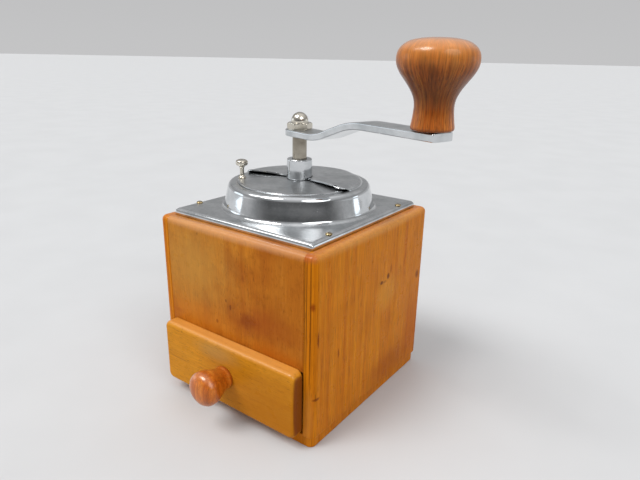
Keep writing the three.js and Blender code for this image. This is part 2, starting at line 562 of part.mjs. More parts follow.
function crankKnob(group) {
  const armTop = CRANK.outerBottom + CRANK.thickness;
  const base = armTop + KNOB.gap;
  const profile = [
    [0, KNOB.boreDepth], [KNOB.bore, KNOB.boreDepth], [KNOB.bore, 0], [9.6, 0], [10.3, 1], [10.3, 2.4], [9.9, 5],
    [9.45, 9], [9.4, 12.5], [10.2, 15.5], [12, 19], [14.7, 22.8], [17.2, 26.2], [18.7, 29.4], [19, 31.8],
    [18.5, 35], [17.5, 37], [15, 39], [11.5, 40.6], [6, 41.3], [0, KNOB.height],
  ];
  const knob = turned(profile, KNOB_FACETS).translate(CRANK.reach, 0, base);
  addMesh(group, 'crank_knob', knob, MATERIAL.crankKnobWood);

  const bushing = [[3.25, -0.25], [5.3, -0.25], [5.3, 20], [3.25, 20]];
  addMesh(group, 'knob_bushing', turnedRing(bushing).translate(CRANK.reach, 0, base), MATERIAL.nickel);
  const pin = turned([
    [0, CRANK.outerBottom], [3, CRANK.outerBottom], [3, base + 20.25], [4.75, base + 20.25],
    [4.75, base + 22.25], [3.75, base + 23], [0, base + 23],
  ]);
  addMesh(group, 'knob_pin', pin.translate(CRANK.reach, 0, 0), MATERIAL.steel);
}

// ---------------------------------------------------------------- assembly

const mill = new THREE.Group();
woodenBox(mill);
drawer(mill);
topPlate(mill);
fillerLid(mill);
fillerHood(mill);
spindleBush(mill);
hopper(mill);
ringBurr(mill);
lowerBridge(mill);

const turning = new THREE.Group();
turning.rotation.z = radians(CRANK.angle);
spindle(turning);
coneBurr(turning);
adjustingNut(turning);
crankArm(turning);
capNut(turning);
crankKnob(turning);
mill.add(turning);

export default mill;
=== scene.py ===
"""Looks for the box coffee mill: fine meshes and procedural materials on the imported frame.

Mesh code is in mm.
"""

import json
import math

import bmesh
import bpy
from mathutils import Matrix, Vector


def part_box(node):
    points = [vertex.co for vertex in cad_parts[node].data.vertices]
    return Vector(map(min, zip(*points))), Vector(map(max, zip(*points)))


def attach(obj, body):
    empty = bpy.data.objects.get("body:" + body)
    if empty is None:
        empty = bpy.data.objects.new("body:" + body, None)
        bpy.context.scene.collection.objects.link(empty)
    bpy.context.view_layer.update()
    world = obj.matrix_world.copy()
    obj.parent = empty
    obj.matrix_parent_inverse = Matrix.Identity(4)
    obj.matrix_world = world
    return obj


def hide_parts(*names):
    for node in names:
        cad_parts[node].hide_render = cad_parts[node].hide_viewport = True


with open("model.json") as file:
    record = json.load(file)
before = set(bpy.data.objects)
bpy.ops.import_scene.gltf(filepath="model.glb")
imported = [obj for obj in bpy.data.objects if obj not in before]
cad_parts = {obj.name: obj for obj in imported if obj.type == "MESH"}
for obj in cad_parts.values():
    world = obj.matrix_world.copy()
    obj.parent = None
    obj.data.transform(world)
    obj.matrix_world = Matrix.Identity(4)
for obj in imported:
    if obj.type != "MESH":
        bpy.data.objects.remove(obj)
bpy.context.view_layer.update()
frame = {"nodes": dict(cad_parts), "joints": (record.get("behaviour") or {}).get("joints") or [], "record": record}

MM = 0.001
QUARTER = math.pi / 2


def node_box(name):
    """Lowest and highest corner of a CAD node at rest, in mm."""
    low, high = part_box(name)
    return low / MM, high / MM


# ---------------------------------------------------------------- camera, lights and stage

CAMERA_PLACE = (0.214706, -0.272113, 0.218826)
CAMERA_YAW, CAMERA_DOWN, CAMERA_ROLL = 35.907, 18.908, 1.148
LENS = 30.182
SENSOR_WIDTH = 36
PALE_BLUE = (0.82, 0.92, 1)
# (sine of the height angle, grey) of the sky: beyond the object, then on the viewer's side
WORLD_SIDES = [
    [(0.0, 0.55), (0.1, 0.53), (0.3, 0.35), (0.6, 0.55), (1.0, 0.9)],
    [(0.0, 0.12), (0.14, 0.12), (0.3, 0.3), (0.6, 0.55), (1.0, 0.9)],
]

# cosine of the angle to the viewer's direction, from where the sky turns dark to where it is darkest
VIEWER_SIDE = (0.1, 0.75)


def make_camera():
    yaw, down, roll = (math.radians(a) for a in (CAMERA_YAW, CAMERA_DOWN, CAMERA_ROLL))
    back = Vector((math.sin(yaw) * math.cos(down), -math.cos(yaw) * math.cos(down), math.sin(down)))
    right = Vector((math.cos(yaw), math.sin(yaw), 0))
    up = back.cross(right)
    rolled_right = right * math.cos(roll) + up * math.sin(roll)
    rolled_up = up * math.cos(roll) - right * math.sin(roll)
    camera = bpy.data.objects.new("camera", bpy.data.cameras.new("camera"))
    camera.data.lens = LENS
    camera.data.sensor_width = SENSOR_WIDTH
    camera.data.clip_start = 0.01
    turn = Matrix((rolled_right, rolled_up, back)).transposed().to_4x4()
    camera.matrix_world = Matrix.Translation(CAMERA_PLACE) @ turn
    bpy.context.scene.collection.objects.link(camera)
    bpy.context.scene.camera = camera


def sun(name, toward, strength, spread, tint=(1, 1, 1)):
    """Even light from one direction, with a wide soft edge to its shadows."""
    light = bpy.data.lights.new(name, "SUN")
    light.energy = strength
    light.angle = math.radians(spread)
    light.color = tint
    holder = bpy.data.objects.new(name, light)
    holder.matrix_world = Vector(toward).to_track_quat("Z", "Y").to_matrix().to_4x4()
    bpy.context.scene.collection.objects.link(holder)


def make_lights():
    """A soft key and fill, and narrower lights that the chrome mirrors as bright bands."""
    sun("key", (-0.35, -0.7, 1.15), 1.7, 26)
    sun("side", (1.0, -0.4, 0.8), 0.9, 40)
    sun("window", (-1.0, -0.35, 0.08), 0.2, 25, PALE_BLUE)
    sun("far_window", (0.69, 0.72, 0.06), 0.055, 13, PALE_BLUE)
    sun("rim", (-0.59, -0.4, 0.7), 0.25, 19)


def make_world():
    """A pale room: light overhead and beyond the object, and a darker band low down on the viewer's side."""
    world = bpy.data.worlds.new("studio")
    bpy.context.scene.world = world
    world.use_nodes = True
    nodes, links = world.node_tree.nodes, world.node_tree.links
    nodes.clear()
    place = nodes.new("ShaderNodeTexCoord")
    split = nodes.new("ShaderNodeSeparateXYZ")
    links.new(place.outputs["Generated"], split.inputs[0])
    ramps = []
    for stops in WORLD_SIDES:
        ramp = nodes.new("ShaderNodeValToRGB")
        ramp.color_ramp.interpolation = "EASE"
        for i, (at, grey) in enumerate(stops):
            stop = ramp.color_ramp.elements[i] if i < 2 else ramp.color_ramp.elements.new(at)
            stop.position = at
            stop.color = (grey, grey, grey * 1.01, 1)
        links.new(split.outputs["Z"], ramp.inputs[0])
        ramps.append(ramp)
    yaw = math.radians(CAMERA_YAW)
    toward = nodes.new("ShaderNodeVectorMath")
    toward.operation = "DOT_PRODUCT"
    toward.inputs[1].default_value = (math.sin(yaw), -math.cos(yaw), 0)
    links.new(place.outputs["Generated"], toward.inputs[0])
    share = nodes.new("ShaderNodeMapRange")
    share.interpolation_type = "SMOOTHSTEP"
    share.inputs["From Min"].default_value, share.inputs["From Max"].default_value = VIEWER_SIDE
    links.new(toward.outputs["Value"], share.inputs["Value"])
    blend = nodes.new("ShaderNodeMix")
    blend.data_type = "RGBA"
    links.new(share.outputs["Result"], blend.inputs["Factor"])
    links.new(ramps[0].outputs[0], blend.inputs[6])
    links.new(ramps[1].outputs[0], blend.inputs[7])
    background = nodes.new("ShaderNodeBackground")
    output = nodes.new("ShaderNodeOutputWorld")
    links.new(blend.outputs[2], background.inputs["Color"])
    links.new(background.outputs[0], output.inputs["Surface"])


make_camera()
make_lights()
make_world()
bpy.context.scene.view_settings.view_transform = "Standard"


# ---------------------------------------------------------------- shader building


def colour(code):
    """A colour code such as B0702C as a linear colour."""
    parts = [int(code[i:i + 2], 16) / 255 for i in (0, 2, 4)]
    linear = [c / 12.92 if c <= 0.04045 else ((c + 0.055) / 1.055) ** 2.4 for c in parts]
    return (*linear, 1)


class Shader:
    """A material under construction. Vectors are object coordinates in mm."""

    def __init__(self, name):
        self.material = bpy.data.materials.new(name)
        self.material.use_nodes = True
        self.tree = self.material.node_tree
        self.tree.nodes.clear()

    def node(self, kind, settings=None, inputs=None):
        made = self.tree.nodes.new(kind)
        for key, value in (settings or {}).items():
            setattr(made, key, value)
        for key, value in (inputs or {}).items():
            self.feed(made.inputs[key], value)
        return made

    def feed(self, socket, value):
        if isinstance(value, bpy.types.NodeSocket):
            self.tree.links.new(value, socket)
        else:
            socket.default_value = value

    def position(self):
        coordinates = self.node("ShaderNodeTexCoord").outputs["Object"]
        return self.vector("SCALE", coordinates, scale=1 / MM)

    def vector(self, operation, a, b=None, scale=None):
        made = self.node("ShaderNodeVectorMath", {"operation": operation}, {0: a})
        if b is not None:
            self.feed(made.inputs[1], b)
        if scale is not None:
            self.feed(made.inputs["Scale"], scale)
        return made.outputs["Value" if operation == "LENGTH" else "Vector"]

    def split(self, vector):
        return self.node("ShaderNodeSeparateXYZ", inputs={0: vector}).outputs

    def math(self, operation, a, b):
        return self.node("ShaderNodeMath", {"operation": operation}, {0: a, 1: b}).outputs[0]

    def noise(self, vector, size, detail=3.0, roughness=0.5):
        return self.node("ShaderNodeTexNoise", inputs={
            "Vector": vector, "Scale": 1 / size, "Detail": detail, "Roughness": roughness,
        }).outputs["Fac"]

    def cells(self, vector, size):
        made = self.node("ShaderNodeTexVoronoi", inputs={"Vector": vector, "Scale": 1 / size})
        return made.outputs["Distance"]

    def remap(self, value, low, high, to_low=0.0, to_high=1.0):
        """A value from low..high as to_low..to_high with soft ends."""
        return self.node("ShaderNodeMapRange", {"interpolation_type": "SMOOTHSTEP"}, {
            "Value": value, "From Min": low, "From Max": high, "To Min": to_low, "To Max": to_high,
        }).outputs["Result"]

    def ramp(self, value, stops):
        made = self.node("ShaderNodeValToRGB", inputs={0: value})
        elements = made.color_ramp.elements
        for i, (at, code) in enumerate(stops):
            stop = elements[i] if i < 2 else elements.new(at)
            stop.position = at
            stop.color = colour(code)
        return made.outputs[0]

    def mix(self, factor, a, b, blend="MIX"):
        made = self.node("ShaderNodeMix", {"data_type": "RGBA", "blend_type": blend})
        self.feed(made.inputs["Factor"], factor)
        self.feed(made.inputs[6], a)
        self.feed(made.inputs[7], b)
        return made.outputs[2]

    def patch(self, position, centre, radii, edge=0.35, wobble=0.5, size=4.0):
        """1 inside a ragged ellipsoid and 0 outside it."""
        offset = self.vector("SUBTRACT", position, centre)
        scaled = self.vector("DIVIDE", offset, radii)
        distance = self.vector("LENGTH", scaled)
        ragged = self.math("MULTIPLY", self.math("SUBTRACT", self.noise(position, size), 0.5), wobble * 2)
        return self.remap(self.math("ADD", distance, ragged), 1 + edge, 1 - edge)

    def finish(self, base, roughness, height=None, depth=0.05, **inputs):
        surface = self.node("ShaderNodeBsdfPrincipled", inputs={"Base Color": base, "Roughness": roughness})
        for key, value in inputs.items():
            self.feed(surface.inputs[key.replace("_", " ")], value)
        if height is not None:
            bump = self.node("ShaderNodeBump", inputs={
                "Height": height, "Distance": depth * MM, "Strength": 1.0,
            })
            self.tree.links.new(bump.outputs[0], surface.inputs["Normal"])
        output = self.node("ShaderNodeOutputMaterial")
        self.tree.links.new(surface.outputs[0], output.inputs["Surface"])
        return self.material


# ---------------------------------------------------------------- wood


PORE_BROWN = "4A2006"
DIRT_BROWN = "6A3208"
VARNISH_TINT = "FFE8A0"
WOOD_RELIEF = 0.03


def wood(name, stops, stretch, seed, ring, tint, sway=3.0, fibre_depth=0.25, pore_depth=0.5, pore_limit=0.64,
         tint_amount=0.35, mottle=0.0, marks=(), roughness=0.34, gloss=0.06, coat=0.03, top_coat=0.6,
         turned=0.0):
    """Varnished wood. Stretch multiplies the coordinates, so its smallest entry is the grain's direction.

    On a turned piece of the given radius, the grain follows the outline instead of running through it.
    """
    s = Shader(name)
    place = s.position()
    if turned:
        flat = s.vector("MULTIPLY", place, (1, 1, 0))
        around = s.vector("SCALE", s.vector("NORMALIZE", flat), scale=turned)
        grain_place = s.vector("ADD", around, s.vector("MULTIPLY", place, (0.15, 0.15, 1)))
    else:
        grain_place = place
    start = s.vector("ADD", grain_place, (seed, seed * 1.7, seed * 2.3))
    drift = s.math("SUBTRACT", s.noise(s.vector("MULTIPLY", start, [max(v, 0.25) for v in stretch]), 22), 0.5)
    swayed = s.vector("ADD", start, s.node("ShaderNodeCombineXYZ", inputs={
        i: s.math("MULTIPLY", drift, sway if v > 0.5 else 0.0) for i, v in enumerate(stretch)}).outputs[0])
    along = s.vector("MULTIPLY", swayed, stretch)
    rings = s.noise(along, ring, detail=4, roughness=0.6)
    fibre = s.noise(along, 0.55, detail=2, roughness=0.6)
    pores = s.noise(s.vector("MULTIPLY", swayed, [min(1, v * 2.2) for v in stretch]), 0.42, detail=1)
    cloud = s.noise(start, 26, detail=2)
    base = s.ramp(rings, stops)
    base = s.mix(s.remap(cloud, 0.38, 0.72, 0, tint_amount), base, colour(tint))
    shade = s.remap(fibre, 0.3, 0.7, 1 - fibre_depth, 1 + fibre_depth * 0.35)
    grey = s.node("ShaderNodeCombineXYZ", inputs={0: shade, 1: shade, 2: shade}).outputs[0]
    base = s.mix(1.0, base, grey, "MULTIPLY")
    if mottle:
        dirt = s.noise(s.vector("ADD", start, (31, 7, 13)), 4.5, detail=6, roughness=0.7)
        base = s.mix(s.remap(dirt, 0.5, 0.78, 0, mottle), base, colour(DIRT_BROWN))
    pore = s.remap(pores, pore_limit, pore_limit + 0.07, 0, pore_depth)
    base = s.mix(pore, base, colour(PORE_BROWN))
    # stains and knots, and also painted highlights and painted shade, as ragged patches
    for centre, radii, code, amount, edge, wobble in marks:
        spot = s.patch(place, centre, radii, edge, wobble, size=max(0.8, min(radii) * 0.8))
        base = s.mix(s.math("MULTIPLY", spot, amount), base, colour(code))
    smudge = s.noise(start, 9, detail=4, roughness=0.65)
    rough = s.remap(smudge, 0.3, 0.75, roughness * 0.75, roughness * 1.35)
    height = s.math("ADD", s.math("MULTIPLY", fibre, 0.5), s.math("MULTIPLY", pore, -0.8))
    height = s.math("ADD", height, s.math("MULTIPLY", s.noise(start, 7, detail=2), 1.2))
    upward = s.split(s.node("ShaderNodeNewGeometry").outputs["Normal"])[2]
    return s.finish(
        base, rough, height, WOOD_RELIEF, Specular_IOR_Level=gloss, Specular_Tint=colour(VARNISH_TINT),
        Coat_Weight=s.remap(upward, 0.1, 0.8, coat, coat * 2 + top_coat), Coat_Roughness=0.22)


side_low, side_high = node_box("right_side_board")
front_low, front_high = node_box("front_board")
drawer_low, drawer_high = node_box("drawer_front")
SIDE = side_high.x
FRONT = front_low.y
DRAWER_FACE = drawer_low.y
BODY_TOP = side_high.z

# stains, knots and worn spots, and also painted highlights and painted shade: (centre, radii, colour, amount,
# softness of the edge, raggedness)
SIDE_MARKS = [
    *[((x, FRONT, 84), (0.35, 3, 46), PORE_BROWN, 0.75, 0.7, 0.2) for x in (55.8, 57.1, 59.6)],
    ((59, FRONT, 20), (3.5, 3, 16), "B87838", 0.4, 0.6, 0.3),
    # painted highlight along the rounded top edge
    ((SIDE - 1, 0, BODY_TOP - 1), (3.2, 70, 3.2), "D49C58", 0.45, 0.5, 0.15),
    ((SIDE - 6, FRONT + 1, BODY_TOP - 1), (7, 3, 3), "B0582C", 0.6, 0.5, 0.2),
    ((SIDE, 14, 74), (8, 10, 11), "D89A38", 0.35, 0.6, 0.3),
    ((SIDE, 6, 83), (3, 1.7, 1.2), "5A2204", 0.85, 0.4, 0.25),
    ((SIDE, 10, 82.5), (3, 2.2, 0.8), "8A4A10", 0.6, 0.5, 0.3),
    ((SIDE, 14.2, 85.2), (3, 1.5, 1.9), "5A2204", 0.85, 0.4, 0.25),
    ((SIDE, 17.5, 89.5), (3, 0.9, 2.8), "7A3A0C", 0.55, 0.5, 0.2),
    ((SIDE, 57, 73), (4, 2.2, 2.8), "6A2A08", 0.7, 0.5, 0.3),
    ((SIDE, 55, 33), (12, 11, 22), "A8480A", 0.4, 0.7, 0.3),
    ((SIDE, 24, 17), (12, 24, 10), "8E3C06", 0.45, 0.7, 0.35),
    ((SIDE, -64.5, 92), (6, 0.8, 2.2), "7A2408", 0.7, 0.5, 0.3),
    ((SIDE, -61.5, 71.5), (4, 0.6, 4.5), "6A2408", 0.75, 0.4, 0.3),
    ((SIDE, -41.2, 54.3), (4, 0.6, 2.8), "6A2408", 0.7, 0.4, 0.3),
    ((SIDE, -62, 33.7), (5, 2.4, 0.9), "6A2A0A", 0.75, 0.4, 0.3),
]
FRONT_MARKS = [
    ((27, FRONT, 70), (24, 10, 9), "8A3410", 0.5, 0.7, 0.45),
    ((13, FRONT, 69), (6, 6, 4.5), "70280C", 0.45, 0.6, 0.5),
    ((-12.9, FRONT, 61), (1.0, 3, 1.3), "5E1E06", 0.8, 0.4, 0.3),
    ((-0.9, FRONT, 73.8), (0.8, 3, 1.9), "5E1E06", 0.75, 0.4, 0.3),
    ((-4.6, FRONT, 77.3), (0.7, 3, 0.9), "5E1E06", 0.75, 0.4, 0.3),
    ((-27.4, FRONT, 115.4), (0.6, 3, 0.8), "4E1A06", 0.75, 0.4, 0.3),
    ((10.2, FRONT, 95.8), (1.0, 3, 2.3), "8A4414", 0.5, 0.5, 0.3),
    ((-49.5, FRONT, 57.8), (3.5, 3, 1.4), "8A3C10", 0.5, 0.6, 0.4),
    ((-34, FRONT, 96), (28, 8, 24), "BE9044", 0.5, 0.9, 0.4),
    ((-30, FRONT, 58), (30, 8, 9), "C8741C", 0.45, 0.8, 0.3),
    ((36, FRONT, 54), (16, 8, 5), "B8560C", 0.4, 0.8, 0.3),
    # painted shade over the right part of the front
    ((48, FRONT, 88), (20, 6, 44), "9A5210", 0.4, 0.8, 0.3),
    # painted highlight along the rounded top edge
    ((0, FRONT + 1, BODY_TOP - 1), (70, 3.2, 3.2), "D8A070", 0.5, 0.5, 0.15),
]
DRAWER_MARKS = [
    ((-5.8, DRAWER_FACE, 44.5), (15, 4, 5), "B09058", 0.4, 0.8, 0.35),
    ((-42, DRAWER_FACE, 27.4), (9, 3, 0.5), "8E5410", 0.5, 0.6, 0.3),
    ((28, DRAWER_FACE, 24), (12, 3, 0.5), "9A5A12", 0.4, 0.6, 0.3),
    # painted shade towards the right and bottom of the drawer front
    ((44, DRAWER_FACE, 16), (44, 4, 26), "A4600C", 0.75, 0.8, 0.3),
    ((drawer_high.x + 0.4, DRAWER_FACE + 5, 30), (1.3, 10, 27), "6E3010", 0.85, 0.3, 0.05),
    # painted highlight along the rounded top edge
    ((0, DRAWER_FACE + 2, drawer_high.z + 0.6), (70, 9, 2.2), "D89858", 0.5, 0.5, 0.2),
]

# painted shade round the knob's foot, where it meets the drawer front
KNOB_FOOT_PAINTED_SHADE = [((0, 0, 0), (11, 11, 2.2), "7A300A", 0.6, 0.4, 0.2)]
CRANK_KNOB_PAINTED_SHADE_LIGHT_AND_TONE = [
    # painted shade under the belly
    ((0, 0, 20), (24, 24, 11), "3A1002", 0.72, 0.7, 0.12),
    # painted shade at the foot, where the knob meets the arm
    ((0, 0, 0), (14, 14, 1.8), "5A1E06", 0.75, 0.3, 0.1),
    ((0, 0, 3), (12, 12, 5), "B87038", 0.25, 0.6, 0.2),
    # painted highlight over the top of the knob
    ((0, 0, 41), (26, 26, 11), "F0A050", 0.5, 0.5, 0.12),
]

WOOD = {
    "side_wood": wood(
        "honey_side_wood", [(0.28, "B6620A"), (0.48, "C8740C"), (0.7, "D48416")], (2.6, 1, 0.02), seed=3.1,
        ring=3.6, tint="B0600A", tint_amount=0.3, fibre_depth=0.2, marks=SIDE_MARKS),
    "front_wood": wood(
        "amber_front_wood", [(0.25, "AC621A"), (0.5, "BA701E"), (0.75, "C47E2A")], (1, 2.2, 0.05), seed=17.7,
        ring=7, tint="94480E", tint_amount=0.6, fibre_depth=0.16, mottle=0.5, marks=FRONT_MARKS),
    "drawer_wood": wood(
        "yellow_drawer_wood", [(0.25, "BC781A"), (0.5, "CE8820"), (0.78, "D8942C")], (0.04, 2, 1), seed=41.3,
        ring=7, sway=5, tint="B07018", tint_amount=0.3, fibre_depth=0.12, mottle=0.2, marks=DRAWER_MARKS),
    "plain_wood": wood(
        "bare_beech", [(0.25, "B08A58"), (0.5, "C8A672"), (0.8, "D4B684")], (0.04, 1, 2), seed=77.7,
        ring=5, tint="B48C58", roughness=0.6, gloss=0.2, coat=0.0, top_coat=0.0, pore_depth=0.35),
    "drawer_knob_wood": wood(
        "orange_knob_wood", [(0.25, "943E08"), (0.5, "BE6216"), (0.8, "DC862E")], (1, 0.06, 1), seed=5.9,
        ring=3, sway=1, tint="96400A", tint_amount=0.4, gloss=0.35, coat=0.5, marks=KNOB_FOOT_PAINTED_SHADE),
    "crank_knob_wood": wood(
        "brown_knob_wood", [(0.3, "6E2C06"), (0.48, "B05816"), (0.7, "D07E34")], (1, 1, 0.04), seed=9.3,
        ring=2.6, sway=1, tint="6E2A08", tint_amount=0.3, fibre_depth=0.5, pore_depth=0.6, pore_limit=0.58,
        gloss=0.25, coat=0.25, top_coat=0.9, roughness=0.36, turned=14, marks=CRANK_KNOB_PAINTED_SHADE_LIGHT_AND_TONE),
}


# ---------------------------------------------------------------- metal


PIT_BROWN = "5A5650"
WORN_GREY = "8A8C8C"
METAL_RELIEF = 0.05


def plated(name, base, dull, polish=0.07, satin=0.25, pit_share=0.5):
    """Plated sheet or turned metal: polished on upright faces, satin on top, with pits and scratches."""
    s = Shader(name)
    place = s.position()
    upward = s.split(s.node("ShaderNodeNewGeometry").outputs["Normal"])[2]
    level = s.remap(upward, 0.75, 0.98)
    stain = s.noise(place, 14, detail=4, roughness=0.6)
    fine = s.noise(place, 0.9, detail=3, roughness=0.7)
    scratch = s.noise(s.vector("MULTIPLY", place, (0.12, 1, 1)), 0.35, detail=2)
    pits = s.remap(s.cells(place, 1.6), 0.16, 0.08)
    worn = s.remap(s.noise(place, 11, detail=3), 0.5, 0.68, 0, pit_share)
    pit = s.math("MULTIPLY", pits, worn)
    body = s.mix(s.remap(stain, 0.35, 0.75), colour(base), colour(dull))
    rubbed = s.remap(s.noise(place, 2.2, detail=4), 0.35, 0.65, 0.25, 0.42)
    body = s.mix(level, body, s.mix(rubbed, body, colour(WORN_GREY)))
    body = s.mix(pit, body, colour(PIT_BROWN))
    rough = s.math("ADD", s.math("MULTIPLY", level, satin), polish)
    rough = s.math("ADD", rough, s.remap(fine, 0.35, 0.8, 0, 0.06))
    rough = s.math("ADD", rough, s.math("MULTIPLY", pit, 0.35))
    height = s.math("ADD", s.noise(place, 9, detail=2), s.math("MULTIPLY", pit, -0.6))
    height = s.math("ADD", height, s.math("MULTIPLY", scratch, 0.06))
    return s.finish(body, rough, height, METAL_RELIEF, Metallic=1.0)


def dark_iron(name):
    """Machined cast iron with a ground surface and a trace of coffee dust."""
    s = Shader(name)
    place = s.position()
    grain = s.noise(place, 0.8, detail=4, roughness=0.7)
    dust = s.remap(s.noise(place, 5, detail=3), 0.48, 0.7)
    body = s.ramp(grain, [(0.3, "3A3A3C"), (0.7, "6A6A6C")])
    body = s.mix(s.math("MULTIPLY", dust, 0.5), body, colour("4A2E18"))
    rough = s.remap(grain, 0.3, 0.7, 0.4, 0.65)
    return s.finish(body, rough, grain, 0.06, Metallic=0.85)


METAL = {
    "chrome": plated("chrome_plate", "D8DADC", "B8BCBE"),
    "nickel": plated("warm_nickel", "D2CCC0", "A8A090", polish=0.14, satin=0.1, pit_share=0.7),
    "steel": plated("plain_steel", "A8AAAC", "7C7E80", polish=0.28, satin=0.1, pit_share=0.6),
    "iron": dark_iron("cast_iron"),
}
MATERIAL = {**WOOD, **METAL}
WORN_NICKEL = plated("worn_nickel", "AAA396", "7E766A", polish=0.12, satin=0.1, pit_share=0.7)
BRASS = plated("brass_screw", "C2AE84", "85704A", polish=0.22, satin=0.1, pit_share=0.8)


# ---------------------------------------------------------------- mesh building


def ring_of(bm, points):
    return [bm.verts.new(p) for p in points]


def bridge(bm, low, high):
    """Faces between two closed rings of vertices. A ring of one vertex is a point."""
    count = max(len(low), len(high))
    for i in range(count):
        j = (i + 1) % count
        corners = (low[i % len(low)], low[j % len(low)], high[j % len(high)], high[i % len(high)])
        distinct = list(dict.fromkeys(corners))
        if len(distinct) > 2:
            bm.faces.new(distinct)


def tidied(bm):
    """Joins doubled vertices and turns all faces outward."""
    bmesh.ops.remove_doubles(bm, verts=bm.verts, dist=1e-4)
    bmesh.ops.recalc_face_normals(bm, faces=bm.faces)
    return bm


def circle(radius, height, segments):
    turns = [2 * math.pi * i / segments for i in range(segments)]
    return [(radius * math.cos(a), radius * math.sin(a), height) for a in turns]


def lathe(profile, segments=96):
    """A turned solid about Z from (radius, height) pairs, from axis to axis or back to its first point."""
    bm = bmesh.new()
    rings = [
        ring_of(bm, circle(radius, height, segments) if radius > 1e-6 else [(0, 0, height)])
        for radius, height in profile
    ]
    for low, high in zip(rings, rings[1:]):
        bridge(bm, low, high)
    return tidied(bm)


def stack(rings):
    """A solid from rings of equal length, one above another, closed at both ends."""
    bm = bmesh.new()
    made = [ring_of(bm, ring) for ring in rings]
    for low, high in zip(made, made[1:]):
        bridge(bm, low, high)
    bm.faces.new(reversed(made[0]))
    bm.faces.new(made[-1])
    return tidied(bm)


def smooth(points, steps=5):
    """A Catmull-Rom curve through the points."""
    padded = [points[0], *points, points[-1]]
    curve = []
    for i in range(1, len(padded) - 2):
        a, b, c, d = (Vector(p) for p in padded[i - 1:i + 3])
        for step in range(steps):
            t = step / steps
            place = 0.5 * (2 * b + (c - a) * t + (2 * a - 5 * b + 4 * c - d) * t ** 2
                           + (3 * b - a - 3 * c + d) * t ** 3)
            curve.append((max(place.x, 0.0), place.y))
    return [*curve, tuple(points[-1])]


def filleted(points, steps=4):
    """A closed profile with its corners rounded. Each point is (r, z) or (r, z, rounding)."""
    out = []
    for i, point in enumerate(points):
        here = Vector(point[:2])
        if len(point) < 3:
            out.append(tuple(here))
            continue
        before = Vector(points[i - 1][:2]) - here
        after = Vector(points[(i + 1) % len(points)][:2]) - here
        reach = min(point[2], before.length * 0.49, after.length * 0.49)
        start = here + before.normalized() * reach
        end = here + after.normalized() * reach
        for step in range(steps + 1):
            t = step / steps
            out.append(tuple(start * (1 - t) ** 2 + here * (2 * t * (1 - t)) + end * t ** 2))
    return [*out, out[0]]


def quarter_turns(steps):
    """Angles from 0 to a quarter turn."""
    return [QUARTER * i / steps for i in range(steps + 1)]


def levels(low, high, low_rounding, high_rounding, steps=8):
    """(inset, height) pairs from low to high, where both ends are rounded over."""
    turns = quarter_turns(steps)
    foot = [(low_rounding * (1 - math.sin(a)), low + low_rounding * (1 - math.cos(a))) for a in turns]
    head = [(high_rounding * (1 - math.cos(a)), high - high_rounding * (1 - math.sin(a))) for a in turns]
    return [*foot, *head]


def corner_arc(x, y, radius, start, steps=8):
    """A quarter circle of plan points, from start degrees on."""
    turns = [math.radians(start + 90 * i / steps) for i in range(steps + 1)]
    return [(x + radius * math.cos(a), y + radius * math.sin(a)) for a in turns]


def rounded_outline(low, high, radius, inset):
    """A rectangle's outline with rounded corners, in plan, drawn in by inset."""
    reach = max(radius - inset, 0.05)
    x0, y0 = low[0] + inset + reach, low[1] + inset + reach
    x1, y1 = high[0] - inset - reach, high[1] - inset - reach
    return [*corner_arc(x1, y1, reach, 0), *corner_arc(x0, y1, reach, 90),
            *corner_arc(x0, y0, reach, 180), *corner_arc(x1, y0, reach, 270)]


def piece(name, bm, body, slot, replaces=(), material=None, place=None, sharp=38):
    """Turns mesh code's result in mm into a finished object that rides on a body."""
    mesh = bpy.data.meshes.new(name)
    bm.to_mesh(mesh)
    bm.free()
    mesh.transform(Matrix.Scale(MM, 4))
    for polygon in mesh.polygons:
        polygon.use_smooth = True
    mesh.set_sharp_from_angle(angle=math.radians(sharp))
    mesh.materials.append(material or MATERIAL[slot])
    made = bpy.data.objects.new(name, mesh)
    bpy.context.scene.collection.objects.link(made)
    if place is not None:
        made.matrix_world = place
    normals = made.modifiers.new("level_faces", "WEIGHTED_NORMAL")
    normals.keep_sharp = True
    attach(made, body)
    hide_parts(*replaces)
    return made


def at(x, y, z, turn=None):
    """A place in mm, with an optional turn, as a matrix."""
    moved = Matrix.Translation((x * MM, y * MM, z * MM))
    return moved @ turn.to_4x4() if turn else moved


def carved(made, cutter_mesh):
    """Cuts a closed mesh, in mm, out of a finished object."""
    mesh = bpy.data.meshes.new("cutter")
    cutter_mesh.to_mesh(mesh)
    cutter_mesh.free()
    mesh.transform(Matrix.Scale(MM, 4))
    cutter = bpy.data.objects.new("cutter", mesh)
    bpy.context.scene.collection.objects.link(cutter)
    cutter.matrix_world = made.matrix_world.copy()
    cut = made.modifiers.new("cut", "BOOLEAN")
    cut.operation = "DIFFERENCE"
    cut.solver = "EXACT"
    cut.object = cutter
    made.modifiers.move(len(made.modifiers) - 1, 0)
    bpy.context.view_layer.update()
    graph = bpy.context.evaluated_depsgraph_get()
    made.modifiers["level_faces"].show_viewport = False
    graph.update()
    result = bpy.data.meshes.new_from_object(made.evaluated_get(graph), depsgraph=graph)
    made.modifiers.remove(cut)
    made.modifiers["level_faces"].show_viewport = True
    made.data = result
    bpy.data.objects.remove(cutter)


# ---------------------------------------------------------------- wooden box

CORNER = 4.5
TOP_ROUNDING = 3
FOOT_ROUNDING = 0.6
GROOVE = 0.35
BASE_CORNER = 4
SCREW_HOLE = [(0, -1), (3.8, -1), (3.8, 0.25), (1.75, 2.75), (1.75, 9), (0, 9)]
DRAWER_CORNER = 4.5


